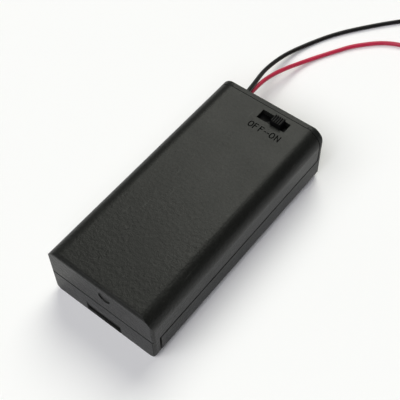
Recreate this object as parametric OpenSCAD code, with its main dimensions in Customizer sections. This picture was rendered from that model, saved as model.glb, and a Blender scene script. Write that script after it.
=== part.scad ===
// Enclosed holder for two round cells side by side: a tray with its contacts, a lift-off
// cover, a slide switch under a slot in the cover, and two loose leads.
// Millimetres, +Z up. The origin is under the middle of the case, on the surface it rests on.
// The switch and the leads are at the far end (+Y); the near end (-Y) has the finger scoop.

/* [Cells] */
// Diameter of each cell
cell_d = 14.5; // [14:0.1:17]
// Length of each cell
cell_l = 50.5; // [46:0.5:60]
// Gap between the two cells
cell_gap = 0.5; // [0.4:0.1:2]
// Gap between a cell and the side wall
cell_side_gap = 0.45; // [0.4:0.05:1]
// Gap above and below a cell
cell_height_gap = 0.5; // [0.4:0.05:1]

/* [Case] */
// Thickness of the floor, the side walls and the top
wall_t = 1.5; // [1.3:0.1:1.8]
// Thickness of the cover's upright end plate
near_plate_t = 2.15; // [1.8:0.05:3]
// Thickness of the tray's upright end plate
far_plate_t = 1.55; // [1.3:0.05:2]
// Height of the parting line above the table
seam_z = 8.5; // [7.5:0.1:9.5]
// Open gap along the parting line
seam_gap = 0.3; // [0.2:0.05:0.4]
// Open gap across the top, between the cover and the tray's end plate
top_gap = 0.12; // [0.1:0.02:0.3]
// Radius of the two long upper edges
top_r = 3; // [2.4:0.1:3.6]
// Radius of the two long lower edges
bottom_r = 3; // [2:0.1:3]
// Radius of the upper edge at the near end
near_end_r = 1.1; // [0.5:0.1:1.4]
// Radius of the upper edge at the far end
far_end_r = 0.4; // [0.3:0.1:1.4]
// Radius of the lower edge at each end
foot_r = 0.3; // [0.2:0.1:0.6]
// Radius of the four upright corners
corner_r = 0.9; // [0.4:0.1:1.4]
// Width of the scored line that carries the parting line across the end plates
score_w = 0.35; // [0.2:0.05:0.5]
// Depth of the scored line
score_depth = 0.3; // [0.2:0.05:0.4]

/* [Cover fit] */
// Thickness of the tray's raised lip behind the parting line
lip_t = 0.6; // [0.5:0.05:0.7]
// Height of the lip above the parting line
lip_h = 1.6; // [1:0.1:2.5]
// Clearance between the cover and what stands inside it
fit_gap = 0.2; // [0.15:0.05:0.3]
// Thickness of the rim that closes the far end behind the cover
rim_t = 0.9; // [0.7:0.1:1.2]
// Depth of that rim along the case
rim_l = 1; // [0.7:0.1:1.2]
// Width of the finger scoop in the cover's end plate
scoop_w = 11; // [8:0.5:14]
// Height of the finger scoop
scoop_h = 4.4; // [3:0.1:5]
// Depth of the finger scoop at its ledge
scoop_depth = 0.8; // [0.5:0.1:1.1]
// Height of the ledge under the scoop
ledge_h = 0.3; // [0.25:0.05:0.6]
// Diameter of the moulding gate's dimple
gate_d = 3.6; // [2:0.2:5]
// Sideways place of the dimple
gate_x = 1.8; // [-4:0.1:4]

/* [Inside walls] */
// Thickness of the tray's near wall
near_wall_t = 1.2; // [1:0.1:1.6]
// Thickness of the wall between the cells and the switch
partition_t = 1.25; // [1:0.05:1.6]
// Height of the near wall and of the partition
cross_wall_top = 14.2; // [12.5:0.1:14.4]
// Width of the free lane for wires between the partition and the switch
wire_lane = 2.45; // [2.2:0.05:4]
// Top of the saddles that hold the cells
saddle_top = 4.2; // [3:0.1:5]
// Thickness of each saddle
saddle_t = 1.2; // [0.8:0.1:2]
// Number of saddles under each cell
saddle_n = 3; // [2:1:5]
// Thickness of the low rib between the cells
rib_t = 1.6; // [1:0.1:2]

/* [Contacts] */
// Thickness of the contact sheet
sheet_t = 0.4; // [0.3:0.05:0.5]
// Height of a contact's button
button_h = 0.8; // [0.5:0.1:1.2]
// Diameter of a contact's button
button_d = 5.2; // [4:0.1:6]
// Room that a pressed spring takes
spring_room = 3.55; // [3:0.05:5]
// Length of a spring with no cell in
spring_l = 6.4; // [5:0.1:8]
// Diameter of the spring wire
spring_wire = 0.6; // [0.5:0.05:0.8]
// Diameter at the wide end of a spring, between the wire's middles
spring_wide = 8.4; // [7:0.1:9]
// Diameter at the narrow end of a spring
spring_narrow = 4; // [3:0.1:5]
// Turns of a spring
spring_turns = 4.5; // [3.5:0.5:6]
// Width of a contact's solder tab
tab_w = 2.4; // [1.6:0.1:3]

/* [Switch] */
// Sideways place of the slot in the cover
slot_x = 3.7; // [1:0.1:4]
// Clearance between the switch and the rim at the far end
switch_gap = 0.05; // [0.05:0.05:0.4]
// Length of the slot
slot_l = 8.8; // [8:0.1:9.4]
// Width of the slot
slot_w = 3.2; // [3:0.1:3.4]
// Length of the knob along its travel
knob_l = 3.2; // [2.6:0.1:3.6]
// Width of the knob
knob_w = 2.5; // [2:0.1:2.6]
// Height of the knob above the cover
knob_rise = 1.5; // [1:0.1:2.5]
// Travel of the knob between off and on
knob_travel = 2.6; // [2:0.1:2.8]
// Ridges across the top of the knob
ridge_n = 5; // [3:1:6]
// Depth of the grooves between the ridges
ridge_depth = 0.35; // [0.2:0.05:0.5]
// Thickness of the shutter plate round the knob, which closes the slot from inside
shutter_t = 0.45; // [0.3:0.05:0.6]
// Length of the switch's metal frame
frame_l = 9.6; // [9:0.1:10]
// Width of the frame
frame_w = 4.4; // [4.2:0.1:5]
// Height of the frame
frame_h = 4.2; // [4:0.1:5]
// Thickness of the frame's sheet
frame_t = 0.3; // [0.2:0.05:0.4]
// Length of each ear of the frame
ear_l = 2.5; // [2.2:0.1:3]

/* [Leads] */
// Outer diameter of a lead
lead_d = 1.3; // [1:0.1:1.4]
// Length of a lead outside the case, with its bare end
lead_l = 150; // [130:5:170]
// Length of the bare tinned end
bare_l = 5; // [3:0.5:6]
// Diameter of the bare tinned end
bare_d = 0.6; // [0.4:0.1:0.8]
// Mean radius of a lead's loose coil at its outer turn
coil_r = 7.6; // [7:0.1:8]
// Diameter of the link wire between contact and switch
link_d = 1.1; // [0.9:0.1:1.2]
// Radius of a drop of solder
solder_r = 0.5; // [0.4:0.05:0.6]
// Length of the tail of a lead that crosses its coil
tail_l = 6; // [5.5:0.5:8]

/* [Hidden] */
$fn = 48;

case_w = 2 * (cell_d + cell_side_gap + wall_t) + cell_gap;
case_h = cell_d + 2 * (cell_height_gap + wall_t);
switch_room = wire_lane + frame_w + switch_gap + rim_l;
bay_l = 2 * sheet_t + button_h + cell_l + spring_room;
case_l = near_plate_t + seam_gap + near_wall_t + bay_l + partition_t + switch_room + far_plate_t;

near_y = -case_l / 2;
far_y = case_l / 2;
plate_y = near_y + near_plate_t;
tray_y = plate_y + seam_gap;
bay_y0 = tray_y + near_wall_t;
bay_y1 = bay_y0 + bay_l;
room_y0 = bay_y1 + partition_t;
room_y1 = room_y0 + switch_room;
cover_y1 = room_y1 - top_gap;

inner_x = case_w / 2 - wall_t;
roof_z = case_h - wall_t;
inner_top_r = top_r - wall_t;
inner_bottom_r = bottom_r - wall_t;
cell_x = (cell_d + cell_gap) / 2;
cell_z = wall_t + cell_height_gap + cell_d / 2;
// How far added walls run into the walls that carry them
bite = 0.5;
// Spare length of a cutting tool past the face it cuts
over = 1;

// Contacts: half widths, heights and the middle of each solder tab
plate_x0 = 0.8;
plate_x1 = inner_x - fit_gap;
plate_z0 = wall_t + 1;
plate_top = cross_wall_top - 0.6;
guide_t = 0.6;
guide_w = 1;
tab_z = cross_wall_top + 0.1;
tab_l = 3;
negative_tab_x = -10;
positive_tab_x = inner_x - 1.8;

// Switch: places of its layers
switch_y = room_y1 - rim_l - switch_gap - frame_w / 2;
shutter_gap = 0.25;
shutter_l = slot_l + knob_travel + 0.8;
shutter_w = frame_w - 0.2;
frame_top = roof_z - 2 * shutter_gap - shutter_t;
frame_bottom = frame_top - frame_h;
on_x = slot_x + knob_travel / 2;
board_t = 0.8;
board_top = frame_bottom + board_t;
pad_t = 0.25;
pad_top = board_top + pad_t;
wiper_gap = 0.1;
wiper_t = 0.2;
foot_h = 0.35;
wiper_z = pad_top + wiper_gap + foot_h;
terminal_pitch = 2.5;
terminal_bottom = frame_bottom - 3.3;
blade_w = 0.9;
blade_t = 0.35;
slider_z = wiper_z + wiper_t;
slider_gap = 0.1;
carriage_l = 5.4;
carriage_top = frame_top - frame_t - slider_gap;
knob_top = case_h + knob_rise;
post_l = 2.2;
pin_r = 0.7;
pin_gap = 0.1;

// Leads: the slot they leave through, and their routes from the solder joint to the coil
exit_x = -12;
black_exit_z = 9.8;
red_exit_z = 8.1;
exit_gap = 0.15;
lead_z = lead_d / 2;
// Free lane for wires between the partition and the switch posts
lane_y = room_y0 + wire_lane / 2;
black_inside = [
    [negative_tab_x, room_y0 + 0.9, tab_z + sheet_t + lead_z + 0.05],
    [negative_tab_x, room_y0 + 2.1, tab_z + sheet_t + lead_z + 0.05],
    [-10.3, room_y1 - 4.7, 14.9], [-10.9, room_y1 - 3.3, 13.4], [-11.4, room_y1 - 2.1, 11.7],
    [-11.8, room_y1 - 1, 10.4], [exit_x, room_y1, black_exit_z],
];
red_inside = [
    [slot_x, switch_y - 1.4, 9.4], [slot_x - 0.3, switch_y - 2.4, 8.2], [slot_x - 1.9, lane_y, 7.2],
    [slot_x - 4.7, lane_y, 6.7], [slot_x - 7.7, lane_y, 6.5], [-7, room_y1 - 5.6, 6.6],
    [-9.3, room_y1 - 4, 7], [-11, room_y1 - 2, 7.6], [exit_x, room_y1, red_exit_z],
];
// Route points outside: across, away from the far face, and the height over a lead at rest
black_outside = [
    [-12, 1, 9.15], [-12.1, 4, 9.15], [-12.5, 7, 8.9], [-13.4, 11, 7.8], [-14.5, 15, 6.4],
    [-15.4, 19, 5], [-15.9, 23, 3.7], [-16.1, 27, 2.5], [-15.9, 31, 1.5], [-15.2, 35, 0.7],
    [-14, 39, 0.2], [-12.4, 43, 0], [-10.4, 47, 0], [-8, 51, 0], [-5.2, 55, 0],
    [-2.2, 59, 0], [1, 63, 0], [4.3, 66.8, 0], [7.6, 70.4, 0], [10.8, 73.8, 0],
];
red_outside = [
    [-12, 1, 7.45], [-12, 3, 7.45], [-12.2, 7, 7.3], [-12.6, 11, 6.6], [-12.9, 15, 5.6],
    [-12.8, 19, 4.5], [-12.4, 23, 3.3], [-11.7, 27, 2.1], [-10.7, 31, 1], [-9.3, 35, 0.3],
    [-7.4, 39, 0], [-5.1, 43, 0], [-2.7, 47, 0], [0.6, 51, 0], [4.2, 54.4, 0],
    [8.3, 56.8, 0], [12.6, 57.9, 0], [17, 58, 0], [21, 58, 0], [25, 58, 0],
];
// Flat coils: the middle, measured as the routes are, and the angle at which the lead joins
black_coil_middle = [16.2, 68.4];
black_coil_start = 135;
red_coil_middle = [25, 50.4];
red_coil_start = 90;
// Tail that crosses a coil: its turn from the radius, and its height on the turns
tail_turn = 50;
tail_z = lead_d + 0.92 * lead_z;

// Link wire: from the positive tab round the switch's right post to its last terminal
link_x = slot_x + terminal_pitch;
link_z = tab_z + sheet_t + link_d / 2 + 0.05;
link_route = [
    [positive_tab_x, room_y0 + 0.9, link_z], [positive_tab_x, room_y0 + 2.1, link_z],
    [positive_tab_x, room_y0 + 3, link_z - 0.8], [positive_tab_x - 0.1, room_y0 + 3.3, 13],
    [positive_tab_x - 0.5, room_y0 + 2.8, 10.8], [positive_tab_x - 1.6, lane_y + 0.4, 9],
    [link_x + 3.6, lane_y, 7.9], [link_x + 1.6, lane_y, 7.9],
    [link_x + 0.2, lane_y + 0.9, 8.6], [link_x, switch_y - 1.2, 9.4],
];

case_colour = "#3b3d3a";
switch_colour = "#141414";
steel_colour = "#c9cac6";
brass_colour = "#c9a15a";
board_colour = "#7a4a26";
red_colour = "#c02038";
black_colour = "#202022";
tin_colour = "#d5d6d4";

// ---- Shared shapes ----

// Upright slab that stands along Y between two places, from an outline in X and Z
module along_y(y0, y1) {
    translate([0, y1, 0]) rotate([90, 0, 0]) linear_extrude(y1 - y0) children();
}

// Slab that runs across the case, from an outline in Y and Z
module along_x(x0, x1) {
    translate([x0, 0, 0]) rotate([90, 0, 90]) linear_extrude(x1 - x0) children();
}

// Block between two corners
module block(low, high) {
    translate(low) cube(high - low);
}

// Outline w wide about the middle and h high from zero, with its lower and upper corners round
module rounded_outline(w, h, r_low, r_high) {
    translate([-w / 2, r_low]) square([w, h - r_low - r_high]);
    translate([-w / 2 + r_low, 0]) square([w - 2 * r_low, h / 2]);
    translate([-w / 2 + r_high, h / 2]) square([w - 2 * r_high, h / 2]);
    for (side = [-1, 1]) {
        translate([side * (w / 2 - r_low), r_low]) circle(r_low);
        translate([side * (w / 2 - r_high), h - r_high]) circle(r_high);
    }
}

// Side view of the case: its two ends differ in the radius of the upper edge
module end_outline() {
    intersection() {
        rounded_outline(case_l, case_h, foot_r, far_end_r);
        translate([near_end_r, 0]) rounded_outline(case_l + 2 * near_end_r, case_h, foot_r, near_end_r);
    }
}

// Outside of the closed case
module case_form() {
    intersection() {
        along_y(near_y, far_y) rounded_outline(case_w, case_h, bottom_r, top_r);
        along_x(-case_w / 2, case_w / 2) end_outline();
        linear_extrude(case_h) translate([0, -case_l / 2])
            rounded_outline(case_w, case_l, corner_r, corner_r);
    }
}

// Inside outline of the case, made smaller all round by a gap
module hollow_outline(gap = 0) {
    translate([0, wall_t + gap])
        rounded_outline(2 * (inner_x - gap), roof_z - wall_t - 2 * gap,
                        inner_bottom_r, inner_top_r);
}

// Wall across the tray that stands up inside the cover
module cross_wall(y0, y1, top) {
    block([-inner_x - bite, y0, wall_t - bite], [inner_x + bite, y1, seam_z - seam_gap / 2 - bite]);
    block([-inner_x + fit_gap, y0, wall_t], [inner_x - fit_gap, y1, top]);
}

function unit(v) = v / norm(v);
function direction(p, i) = unit(p[min(i + 1, len(p) - 1)] - p[max(i - 1, 0)]);
function square_to(v, t) = unit(v - (v * t) * t);
// Side vector at each point of a path, carried along it without twist
function carried(p) = [
    for (i = 0, side = square_to([0.3, 0.1, 1], direction(p, 0)); i < len(p);
         i = i + 1, side = i < len(p) ? square_to(side, direction(p, i)) : side) side
];
function path_length(p, i = 1) = i < len(p) ? norm(p[i] - p[i - 1]) + path_length(p, i + 1) : 0;

// Round wire or tube swept along a path
module swept(path, r, sides = 8) {
    side = carried(path);
    rings = [
        for (i = [0:len(path) - 1])
            let (u = side[i], v = cross(direction(path, i), u))
                for (k = [0:sides - 1])
                    path[i] + r * (cos(360 * k / sides) * u + sin(360 * k / sides) * v)
    ];
    last = len(path) - 1;
    walls = [
        for (i = [0:last - 1]) for (k = [0:sides - 1])
            let (a = i * sides + k, b = i * sides + (k + 1) % sides)
                [a, a + sides, b + sides, b]
    ];
    ends = [[for (k = [0:sides - 1]) k], [for (k = [sides - 1:-1:0]) last * sides + k]];
    polyhedron(points = rings, faces = concat(walls, ends), convexity = 6);
}

// ---- Case ----

// Saddle across both bays, hollowed to the cells
module saddle(y) {
    difference() {
        block([-inner_x - bite, y - saddle_t / 2, wall_t - bite],
              [inner_x + bite, y + saddle_t / 2, saddle_top]);
        for (side = [-1, 1])
            translate([side * cell_x, y + saddle_t, cell_z]) rotate([90, 0, 0])
                cylinder(r = cell_d / 2 + fit_gap, h = 2 * saddle_t);
    }
}

// Pair of upright ribs on the side walls that keep a contact sheet against its wall
module side_guides(y0, y1) {
    for (side = [-1, 1])
        block([side > 0 ? inner_x - guide_w : -inner_x - bite, y0, wall_t - bite],
              [side > 0 ? inner_x + bite : -inner_x + guide_w, y1, seam_z - seam_gap]);
}

module tray_ribs() {
    saddle_pitch = (cell_l - 12) / (saddle_n - 1);
    for (i = [0:saddle_n - 1])
        saddle((bay_y0 + bay_y1) / 2 - (saddle_n - 1) * saddle_pitch / 2 + i * saddle_pitch);
    block([-rib_t / 2, bay_y0 + sheet_t + fit_gap, wall_t - bite],
          [rib_t / 2, bay_y1 - sheet_t - fit_gap, saddle_top]);
    side_guides(bay_y0 + sheet_t + fit_gap, bay_y0 + sheet_t + fit_gap + guide_t);
    side_guides(bay_y1 - sheet_t - fit_gap - guide_t, bay_y1 - sheet_t - fit_gap);
    // Middle posts in front of the contact sheets
    block([-rib_t / 2, bay_y0 + sheet_t + fit_gap, wall_t - bite],
          [rib_t / 2, bay_y0 + sheet_t + fit_gap + guide_t, cell_z]);
    block([-plate_x0 / 2, bay_y1 - sheet_t - fit_gap - guide_t, wall_t - bite],
          [plate_x0 / 2, bay_y1 + bite, plate_top]);
    block([-plate_x0 - guide_w, bay_y1 - sheet_t - fit_gap - guide_t, wall_t - bite],
          [plate_x0 + guide_w, bay_y1 - sheet_t - fit_gap, plate_top]);
}

// Posts under the ears of the switch, with the pins that locate it
module switch_posts() {
    for (side = [-1, 1]) {
        middle = slot_x + side * (frame_l / 2 + ear_l / 2 + 0.1);
        block([middle - post_l / 2, switch_y - frame_w / 2, wall_t - bite],
              [middle + post_l / 2, switch_y + frame_w / 2, frame_top - frame_t]);
        translate([middle, switch_y, frame_top - frame_t - bite])
            cylinder(r = pin_r, h = bite + frame_t + 0.05);
    }
}

// Oblong opening for the two leads, one above the other
module lead_slot() {
    r = lead_d / 2 + exit_gap;
    along_y(room_y1 - over, far_y + over) {
        translate([exit_x, black_exit_z]) circle(r);
        translate([exit_x, red_exit_z]) circle(r);
        translate([exit_x - r, red_exit_z]) square([2 * r, black_exit_z - red_exit_z]);
    }
}

module base_tray() color(case_colour) {
    difference() {
        union() {
            difference() {
                case_form();
                block([-case_w, near_y - over, seam_z - seam_gap / 2], [case_w, room_y1, case_h + over]);
                block([-case_w, near_y - over, -over], [case_w, tray_y, case_h + over]);
                along_y(bay_y0, room_y1) hollow_outline();
            }
            // Raised lip behind the parting line
            for (side = [-1, 1])
                block([side > 0 ? inner_x : -inner_x - lip_t, tray_y, seam_z - bite],
                      [side > 0 ? inner_x + lip_t : -inner_x, room_y1 + bite, seam_z + lip_h]);
            // Rim that closes the far end behind the cover
            difference() {
                along_y(room_y1 - rim_l, room_y1 + bite) hollow_outline(fit_gap);
                along_y(room_y1 - rim_l - over, room_y1) hollow_outline(fit_gap + rim_t);
                block([-case_w, room_y1 - rim_l - over, 0], [case_w, room_y1, seam_z - bite]);
            }
            cross_wall(tray_y, bay_y0, cross_wall_top);
            cross_wall(bay_y1, room_y0, cross_wall_top);
            tray_ribs();
            switch_posts();
        }
        lead_slot();
        // Scored line that carries the parting line across the end plate
        block([-case_w, far_y - score_depth, seam_z - score_w / 2],
              [case_w, far_y + over, seam_z + score_w / 2]);
    }
}

// Finger scoop: a hollow that slopes in towards a ledge at the foot of the end plate
module finger_scoop() {
    along_x(-scoop_w / 2, scoop_w / 2)
        polygon([
            [near_y - over, ledge_h], [near_y + scoop_depth, ledge_h],
            [near_y, scoop_h], [near_y - over, scoop_h],
        ]);
}

module cover() color(case_colour) {
    difference() {
        case_form();
        // Room of the tray below the parting line, and of its end plate
        block([-case_w, plate_y, -over], [case_w, far_y + over, seam_z + seam_gap / 2]);
        block([-case_w, cover_y1, -over], [case_w, far_y + over, case_h + over]);
        for (side = [-1, 1])
            block([side > 0 ? case_w / 2 - top_r : -case_w, room_y1 - seam_gap, -over],
                  [side > 0 ? case_w : top_r - case_w / 2, far_y + over, case_h + over]);
        along_y(plate_y, far_y + over) hollow_outline();
        // Rebates for the raised lip
        for (side = [-1, 1])
            block([side > 0 ? inner_x - over : -inner_x - lip_t - fit_gap, plate_y, 0],
                  [side > 0 ? inner_x + lip_t + fit_gap : -inner_x + over, far_y, seam_z + lip_h + fit_gap]);
        // Slot for the knob
        block([slot_x - slot_l / 2, switch_y - slot_w / 2, roof_z - over],
              [slot_x + slot_l / 2, switch_y + slot_w / 2, case_h + over]);
        finger_scoop();
        // Scored line that carries the parting line across the end plate
        block([-case_w, near_y - over, seam_z - score_w / 2],
              [case_w, near_y + score_depth, seam_z + score_w / 2]);
        // Dimple of the moulding gate
        along_y(near_y - over, near_y + 0.25)
            translate([gate_x, (seam_z + case_h) / 2 + 0.8]) circle(d = gate_d);
    }
}

// ---- Contacts ----

// Round button pressed out of a contact sheet
module button(x, y, toward) {
    translate([x, y, cell_z]) rotate([-90 * toward, 0, 0]) {
        cylinder(d = button_d, h = button_h / 2);
        cylinder(d = button_d * 0.7, h = button_h);
    }
}

// Conical spring: it stands on its wide turn and grows along Y
module cone_spring(x, y, toward) {
    r_wire = spring_wire / 2;
    seat = 0.02;
    rise = spring_l - spring_wire - seat;
    steps = 16 * spring_turns;
    path = [
        for (i = [0:steps])
            let (f = i / steps, a = 360 * spring_turns * f,
                 g = max(0, (f - 0.12) / 0.88),
                 r = spring_wide / 2 + (spring_narrow - spring_wide) / 2 * g)
                [x + r * cos(a), y + toward * (seat + r_wire + rise * g), cell_z + r * sin(a)]
    ];
    swept(path, r_wire, 6);
}

module near_bridge_plate() color(steel_colour) {
    block([-plate_x1, bay_y0, plate_z0], [plate_x1, bay_y0 + sheet_t, plate_top]);
    button(-cell_x, bay_y0 + sheet_t, 1);
}

module near_bridge_spring() color(steel_colour) cone_spring(cell_x, bay_y0 + sheet_t, 1);

// Far contact sheet with its solder tab, bent over the top of the partition
module far_plate(x0, x1, tab_x) {
    block([x0, bay_y1 - sheet_t, plate_z0], [x1, bay_y1, plate_top]);
    block([tab_x - tab_w / 2, bay_y1 - sheet_t, plate_top], [tab_x + tab_w / 2, bay_y1, tab_z + sheet_t]);
    block([tab_x - tab_w / 2, bay_y1 - sheet_t, tab_z], [tab_x + tab_w / 2, bay_y1 + tab_l, tab_z + sheet_t]);
}

module far_negative_plate() color(steel_colour) far_plate(-plate_x1, -plate_x0, negative_tab_x);

module far_negative_spring() color(steel_colour) cone_spring(-cell_x, bay_y1 - sheet_t, -1);

module far_positive_plate() color(steel_colour) {
    far_plate(plate_x0, plate_x1, positive_tab_x);
    button(cell_x, bay_y1 - sheet_t, -1);
}

// ---- Switch ----

module switch_frame() color(steel_colour) {
    inner_l = frame_l - 2 * frame_t;
    inner_w = frame_w - 2 * frame_t;
    ear_x = frame_l / 2 + ear_l;
    window_l = knob_l + knob_travel + 0.4;
    window_w = knob_w + 0.3;
    translate([slot_x, switch_y, 0]) difference() {
        union() {
            block([-frame_l / 2, -frame_w / 2, frame_bottom], [frame_l / 2, frame_w / 2, frame_top]);
            block([-ear_x, -frame_w / 2, frame_top - frame_t], [ear_x, frame_w / 2, frame_top]);
        }
        block([-inner_l / 2, -inner_w / 2, frame_bottom - over],
              [inner_l / 2, inner_w / 2, frame_top - frame_t]);
        block([-window_l / 2, -window_w / 2, frame_top - over],
              [window_l / 2, window_w / 2, frame_top + over]);
        for (side = [-1, 1])
            translate([side * (frame_l / 2 + ear_l / 2 + 0.1), 0, frame_top - over])
                cylinder(r = pin_r + pin_gap, h = 2 * over);
    }
}

module switch_board() color(board_colour) {
    board_l = frame_l - 2 * frame_t - 0.1;
    board_w = frame_w - 2 * frame_t - 0.1;
    slit_gap = 0.05;
    translate([slot_x, switch_y, 0]) difference() {
        block([-board_l / 2, -board_w / 2, frame_bottom], [board_l / 2, board_w / 2, board_top]);
        for (i = [-1:1])
            translate([i * terminal_pitch, 0, 0])
                block([-blade_w / 2 - slit_gap, -blade_t / 2 - slit_gap, frame_bottom - over],
                      [blade_w / 2 + slit_gap, blade_t / 2 + slit_gap, board_top + over]);
    }
}

module switch_terminals() color(brass_colour) {
    pad_l = 1.9;
    pad_w = 2.2;
    for (i = [-1:1])
        translate([slot_x + i * terminal_pitch, switch_y, 0]) {
            block([-blade_w / 2, -blade_t / 2, terminal_bottom], [blade_w / 2, blade_t / 2, pad_top]);
            block([-pad_l / 2, -pad_w / 2, board_top], [pad_l / 2, pad_w / 2, pad_top]);
        }
}

// Knob, shutter and carriage, moulded in one, with a ridged top
module switch_slider() color(switch_colour) {
    carriage_w = frame_w - 2 * frame_t - 2 * slider_gap;
    pitch = knob_l / ridge_n;
    ridges = [
        for (i = [0:ridge_n - 1]) each [
            [-knob_l / 2 + (i + 0.08) * pitch, knob_top - ridge_depth],
            [-knob_l / 2 + (i + 0.32) * pitch, knob_top],
            [-knob_l / 2 + (i + 0.68) * pitch, knob_top],
            [-knob_l / 2 + (i + 0.92) * pitch, knob_top - ridge_depth],
        ]
    ];
    translate([on_x, switch_y, 0]) {
        block([-carriage_l / 2, -carriage_w / 2, slider_z], [carriage_l / 2, carriage_w / 2, carriage_top]);
        block([-shutter_l / 2, -shutter_w / 2, frame_top + shutter_gap],
              [shutter_l / 2, shutter_w / 2, frame_top + shutter_gap + shutter_t]);
        along_y(-knob_w / 2, knob_w / 2)
            polygon(concat([[-knob_l / 2, carriage_top - bite], [-knob_l / 2, knob_top - ridge_depth]],
                           ridges,
                           [[knob_l / 2, knob_top - ridge_depth], [knob_l / 2, carriage_top - bite]]));
    }
}

// Contact strip under the carriage: its two feet join the middle terminal to a side one
module switch_wiper() color(brass_colour) {
    strip_l = 4.6;
    strip_w = 1.8;
    foot_r = 0.45;
    translate([on_x, switch_y, 0]) {
        block([-strip_l / 2, -strip_w / 2, wiper_z], [strip_l / 2, strip_w / 2, slider_z]);
        for (side = [-1, 1])
            translate([side * terminal_pitch / 2, 0, wiper_z - foot_h])
                cylinder(r = foot_r, h = foot_h + wiper_t / 2);
    }
}

// ---- Wiring ----

module link_wire() color(red_colour) swept(link_route, link_d / 2);

module solder_joints() color(tin_colour) {
    drop_z = tab_z + sheet_t + 0.6 * solder_r;
    drop_y = room_y0 + 0.8 * solder_r;
    blade_y = switch_y - blade_t / 2 - 0.6 * solder_r;
    for (at = [
        [negative_tab_x, drop_y, drop_z], [positive_tab_x, drop_y, drop_z],
        [link_x, blade_y, terminal_bottom + 2 * solder_r], [slot_x, blade_y, terminal_bottom + 2 * solder_r],
    ])
        translate(at) sphere(solder_r);
}

// Route outside the case, from points measured off the far face
function laid(points) = [for (p = points) p + [0, far_y, lead_z]];

module black_lead() color(black_colour) swept(concat(black_inside, laid(black_outside)), lead_d / 2);

module red_lead() color(red_colour) swept(concat(red_inside, laid(red_outside)), lead_d / 2);

// Length of lead that is left for the coil
function spare(outside) = lead_l - bare_l - tail_l - outside[0][1] - path_length(outside);
// Turns of a flat coil that use it up, from the outer turn inward
function coil_turns(outside) = (coil_r - sqrt(coil_r * coil_r - spare(outside) * lead_d / PI)) / lead_d;
function last_r(outside) = coil_r - coil_turns(outside) * lead_d;

// Places a piece along the tail, at a distance from where the tail leaves the inner turn
module on_tail(middle, start, outside, along = 0) {
    a = start - 360 * coil_turns(outside);
    r = last_r(outside);
    translate([middle[0] + r * cos(a), far_y + middle[1] + r * sin(a), tail_z])
        rotate([0, 90, a - tail_turn]) translate([0, 0, along]) children();
}

// Outer shape of a flat coil that lies on the table, with the tail that crosses its turns
module flat_coil(middle, start, outside) {
    inside = last_r(outside) - lead_z;
    translate([middle[0], far_y + middle[1], 0]) rotate_extrude()
        translate([inside, 0]) square([coil_r + lead_z - inside, lead_d]);
    on_tail(middle, start, outside) cylinder(d = lead_d, h = tail_l);
}

// Bare end that goes on from the tail
module bare_end(middle, start, outside)
    on_tail(middle, start, outside, tail_l) cylinder(d = bare_d, h = bare_l);

module black_coil() color(black_colour) flat_coil(black_coil_middle, black_coil_start, black_outside);

module red_coil() color(red_colour) flat_coil(red_coil_middle, red_coil_start, red_outside);

module black_bare_end() color(tin_colour) bare_end(black_coil_middle, black_coil_start, black_outside);

module red_bare_end() color(tin_colour) bare_end(red_coil_middle, red_coil_start, red_outside);

base_tray();
cover();
near_bridge_plate();
near_bridge_spring();
far_negative_plate();
far_negative_spring();
far_positive_plate();
switch_frame();
switch_board();
switch_terminals();
switch_slider();
switch_wiper();
link_wire();
solder_joints();
black_lead();
red_lead();
black_coil();
red_coil();
black_bare_end();
red_bare_end();
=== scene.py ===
"""Looks of an enclosed holder for two round cells, with a slide switch and two flying leads.

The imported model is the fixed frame: +Y runs to the end with the switch and the leads, and +Z is up
through the cover. Lengths are in metres. The routes of the leads, and the sizes of the moulded
pieces, their words and their parting line, are in millimetres, as in the part's source.
"""

import logging
import math
from dataclasses import dataclass, field
from enum import Enum
from typing import Iterable, List, Optional, Sequence, Tuple, Union

import bmesh
import bpy
import numpy as np
from mathutils import Matrix


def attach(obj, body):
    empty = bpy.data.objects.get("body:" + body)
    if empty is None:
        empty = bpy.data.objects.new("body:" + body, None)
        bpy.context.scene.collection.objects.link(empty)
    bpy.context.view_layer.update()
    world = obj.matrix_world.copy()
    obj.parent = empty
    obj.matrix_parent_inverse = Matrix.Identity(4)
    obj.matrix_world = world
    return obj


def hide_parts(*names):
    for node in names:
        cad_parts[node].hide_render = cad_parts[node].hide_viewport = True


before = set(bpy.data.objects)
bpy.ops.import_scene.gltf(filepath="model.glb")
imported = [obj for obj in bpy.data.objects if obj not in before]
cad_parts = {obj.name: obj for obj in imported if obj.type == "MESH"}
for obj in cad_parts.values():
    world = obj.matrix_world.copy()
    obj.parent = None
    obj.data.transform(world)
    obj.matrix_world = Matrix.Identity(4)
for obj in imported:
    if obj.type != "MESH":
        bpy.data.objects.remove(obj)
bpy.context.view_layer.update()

Colour = Tuple[float, float, float]
Range = Tuple[float, float]
Array = np.ndarray
Solid = Tuple[Array, List[List[int]]]
Socket = bpy.types.NodeSocket
Value = Union[Socket, Sequence[float], float, None]

LOG = logging.getLogger("cell_holder")
MM = 0.001

# Up to the knee a colour level is linear light times the slope; above it, it follows a power.
SRGB_KNEE, SRGB_SLOPE, SRGB_LIFT, SRGB_POWER = 0.04045, 12.92, 0.055, 2.4

# The body of a noise, between its rare lows and its rare highs.
BODY: Range = (0.3, 0.7)

# Outer sizes of the closed case, in millimetres.
CASE_HALF_WIDTH, CASE_HALF_LENGTH, CASE_TOP = 16.7, 35.0, 18.5


def srgb(code: str) -> Colour:
    """Turns a six-figure colour code into linear light.

    Args:
        code: Red, green and blue as six hexadecimal figures.

    Returns:
        The three linear channels, from 0 to 1.
    """
    levels = np.array([int(code[i:i + 2], 16) for i in (0, 2, 4)]) / 255
    linear = np.where(levels <= SRGB_KNEE, levels / SRGB_SLOPE,
                      ((levels + SRGB_LIFT) / (1 + SRGB_LIFT)) ** SRGB_POWER)
    return tuple(float(c) for c in linear)


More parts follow.
